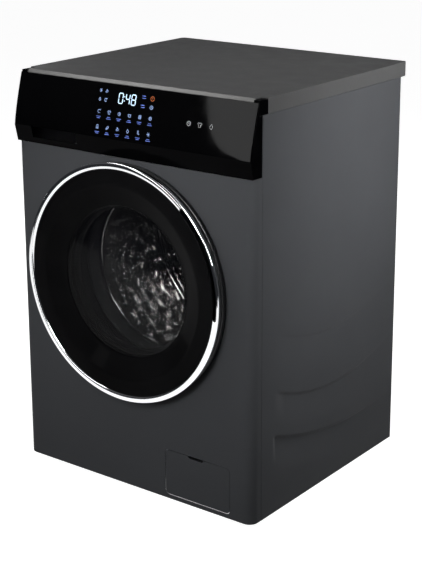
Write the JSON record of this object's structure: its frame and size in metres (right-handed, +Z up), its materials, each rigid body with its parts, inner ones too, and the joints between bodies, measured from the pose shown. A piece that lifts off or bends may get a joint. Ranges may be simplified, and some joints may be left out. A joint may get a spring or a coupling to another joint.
{
  "type": "front load washing machine",
  "caption": "Freestanding front load washing machine in graphite with a full-width black control console, a round smoked door with a chrome ring, and its whole inside.",
  "frame": {"origin": "on the floor, under the middle of the overall bounding box", "axes": "+Z up, -Y out of the front (door) side, +X to the right as seen from the front"},
  "size_m": [0.595, 0.59, 0.85],
  "materials": {
    "graphite_paint": "satin powder-coated graphite steel sheet",
    "graphite_worktop": "chipboard worktop faced in satin graphite laminate",
    "galvanised_steel": "bright zinc-plated pressed steel",
    "black_gloss": "piano black polished panel",
    "black_plastic": "fine-grained black moulding",
    "chrome": "mirror chrome plating",
    "smoked_cover": "smoked transparent cover, polished",
    "clear_glass": "clear pressed glass",
    "stainless_steel": "polished stainless steel",
    "grey_rubber": "matt grey moulded rubber",
    "black_rubber": "matt black rubber",
    "tub_plastic": "mineral-filled light grey moulding",
    "white_plastic": "satin white moulding",
    "cast_aluminium": "sand-cast aluminium, light blasting",
    "concrete": "cast concrete, fine pores",
    "circuit_board": "green solder-masked board",
    "spring_steel": "dark oiled spring steel"
  },
  "bodies": {
    "cabinet": {"front_panel": "graphite_paint", "side_panel_left": "graphite_paint", "side_panel_right": "graphite_paint", "rear_panel": "graphite_paint", "rear_cover": "graphite_paint", "top_plate": "graphite_worktop", "base_tray": "galvanised_steel", "top_brace": "galvanised_steel", "console_body": "black_plastic", "console_glass": "black_gloss", "display_board": "circuit_board", "dispenser_housing": "tub_plastic", "inlet_valve": "white_plastic", "mains_gland": "black_plastic", "drain_hose": "black_rubber", "dispenser_hose": "black_rubber", "hinge_bracket": "galvanised_steel", "door_lock": "black_plastic", "drain_pump": "tub_plastic", "sump_hose": "black_rubber", "door_gasket": "grey_rubber", "spring_left": "spring_steel", "spring_right": "spring_steel", "damper_cylinder_left": "black_plastic", "damper_cylinder_right": "black_plastic"},
    "door": {"door_frame": "black_plastic", "door_ring": "chrome", "door_cover": "smoked_cover", "door_bowl": "clear_glass", "door_back_ring": "black_plastic", "hinge_leaf": "galvanised_steel"},
    "latch": {"latch_hook": "galvanised_steel"},
    "tub": {"tub_front": "tub_plastic", "tub_rear": "tub_plastic", "counterweight_upper": "concrete", "counterweight_lower": "concrete", "heater": "stainless_steel", "motor": "cast_aluminium", "drive_belt": "black_rubber", "bearing_front": "spring_steel", "bearing_rear": "spring_steel", "shaft_seal": "black_rubber", "damper_rod_left": "spring_steel", "damper_rod_right": "spring_steel"},
    "drum": {"drum_shell": "stainless_steel", "drum_back": "stainless_steel", "lifter_1": "stainless_steel", "lifter_2": "stainless_steel", "lifter_3": "stainless_steel", "drum_spider": "cast_aluminium", "drum_pulley": "cast_aluminium"},
    "rotor": {"motor_pulley": "spring_steel"},
    "drawer": {"drawer_front": "black_gloss", "detergent_drawer": "white_plastic"},
    "flap": {"filter_flap": "graphite_paint"},
    "filter": {"filter_knob": "white_plastic"},
    "foot_fl": {"foot_front_left": "black_rubber"},
    "foot_fr": {"foot_front_right": "black_rubber"},
    "foot_rl": {"foot_rear_left": "black_rubber"},
    "foot_rr": {"foot_rear_right": "black_rubber"}
  },
  "joints": [
    {"name": "door_hinge", "type": "hinge", "parent": "cabinet", "child": "door", "pos_m": [-0.238, -0.279, 0.458], "axis": [0, 0, -1], "range_deg": [0, 150]},
    {"name": "latch_pivot", "type": "hinge", "parent": "door", "child": "latch", "pos_m": [0.205, -0.273, 0.458], "axis": [0, 0, 1], "range_deg": [0, 6], "stiffness_Nm_per_rad": 0.5},
    {"name": "tub_float", "type": "slide", "parent": "cabinet", "child": "tub", "axis": [0, 0, 1], "range_m": [-0.01, 0.01], "stiffness_N_per_m": 24000, "springref_m": 0.01152, "deforming": ["door_gasket", "spring_left", "spring_right", "sump_hose", "dispenser_hose"]},
    {"name": "drum_spin", "type": "hinge", "parent": "tub", "child": "drum", "pos_m": [0, 0, 0.458], "axis": [0, 1, 0], "continuous": true},
    {"name": "rotor_spin", "type": "hinge", "parent": "tub", "child": "rotor", "pos_m": [0, 0, 0.128], "axis": [0, 1, 0], "continuous": true},
    {"name": "drawer_slide", "type": "slide", "parent": "cabinet", "child": "drawer", "axis": [0, -1, 0], "range_m": [0, 0.2]},
    {"name": "flap_hinge", "type": "hinge", "parent": "cabinet", "child": "flap", "pos_m": [0.164, -0.259, 0.022], "axis": [1, 0, 0], "range_deg": [0, 95]},
    {"name": "filter_turn", "type": "hinge", "parent": "cabinet", "child": "filter", "pos_m": [0.164, -0.229, 0.068], "axis": [0, -1, 0], "range_deg": [0, 270]},
    {"name": "turn_foot_fl", "type": "hinge", "parent": "cabinet", "child": "foot_fl", "pos_m": [-0.2555, -0.199, 0], "axis": [0, 0, 1], "range_deg": [0, 720]},
    {"name": "turn_foot_fr", "type": "hinge", "parent": "cabinet", "child": "foot_fr", "pos_m": [0.2555, -0.199, 0], "axis": [0, 0, 1], "range_deg": [0, 720]},
    {"name": "turn_foot_rl", "type": "hinge", "parent": "cabinet", "child": "foot_rl", "pos_m": [-0.2555, 0.221, 0], "axis": [0, 0, 1], "range_deg": [0, 720]},
    {"name": "turn_foot_rr", "type": "hinge", "parent": "cabinet", "child": "foot_rr", "pos_m": [0.2555, 0.221, 0], "axis": [0, 0, 1], "range_deg": [0, 720]}
  ],
  "couplings": [
    {"joint": "rotor_spin", "follows": "drum_spin", "ratio": 13.182}
  ]
}
